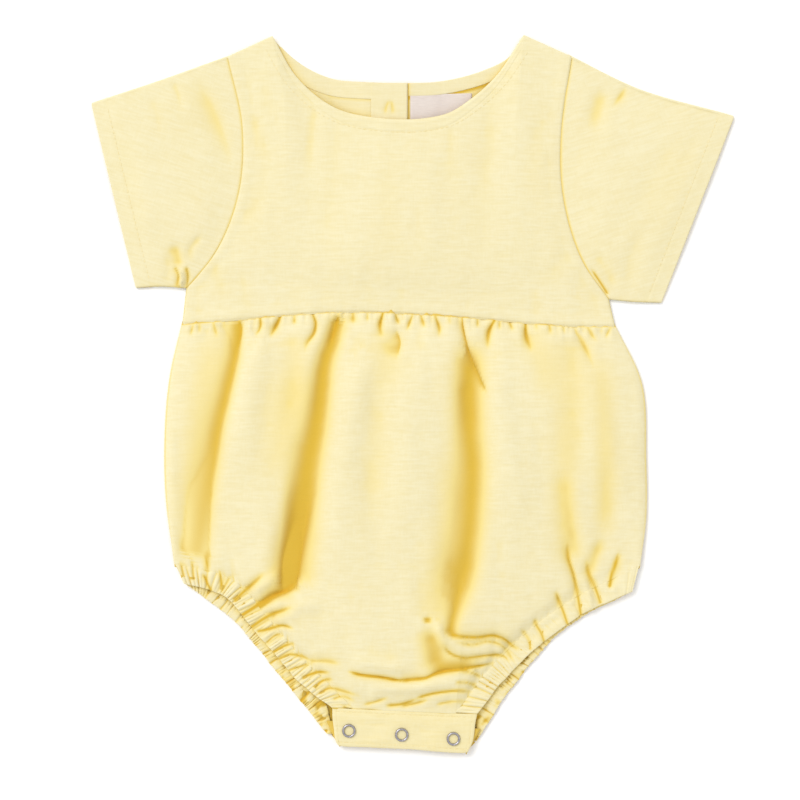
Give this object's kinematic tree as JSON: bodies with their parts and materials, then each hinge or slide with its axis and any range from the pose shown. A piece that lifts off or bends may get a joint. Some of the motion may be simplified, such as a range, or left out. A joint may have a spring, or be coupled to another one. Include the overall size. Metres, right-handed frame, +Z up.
{
  "type": "baby romper",
  "caption": "Short-sleeved linen bubble romper laid flat face up, gathered at a high waist, with elastic leg casings, a snap crotch and a buttoned back.",
  "frame": {"origin": "on the table under the middle of the romper's bounding box", "axes": "+Y from the crotch up to the neck, +X to the right of the laid-out front, +Z up out of the table through the front"},
  "size_m": [0.3837, 0.428, 0.0161],
  "materials": {
    "linen": "woven linen and cotton, matte",
    "facing_linen": "woven linen and cotton, wrong side, matte",
    "label_satin": "woven satin, plain",
    "snap_steel": "polished plated steel",
    "button_shell": "satin"
  },
  "bodies": {
    "root": {"front_bodice": "linen", "back_bodice_left": "linen", "back_bodice_right": "linen", "back_button_band": "facing_linen", "neck_facing_left": "facing_linen", "neck_facing_right": "facing_linen", "label": "label_satin", "back_button_1": "button_shell", "back_button_2": "button_shell", "back_button_3": "button_shell", "sleeve_left": "linen", "sleeve_right": "linen", "front_skirt": "linen", "back_skirt": "linen", "front_casing_left": "linen", "front_casing_right": "linen", "back_casing_left": "linen", "back_casing_right": "linen", "front_placket": "linen", "back_placket": "linen", "snap_ring_1": "snap_steel", "snap_ring_2": "snap_steel", "snap_ring_3": "snap_steel", "snap_stud_1": "snap_steel", "snap_stud_2": "snap_steel", "snap_stud_3": "snap_steel"}
  },
  "joints": []
}
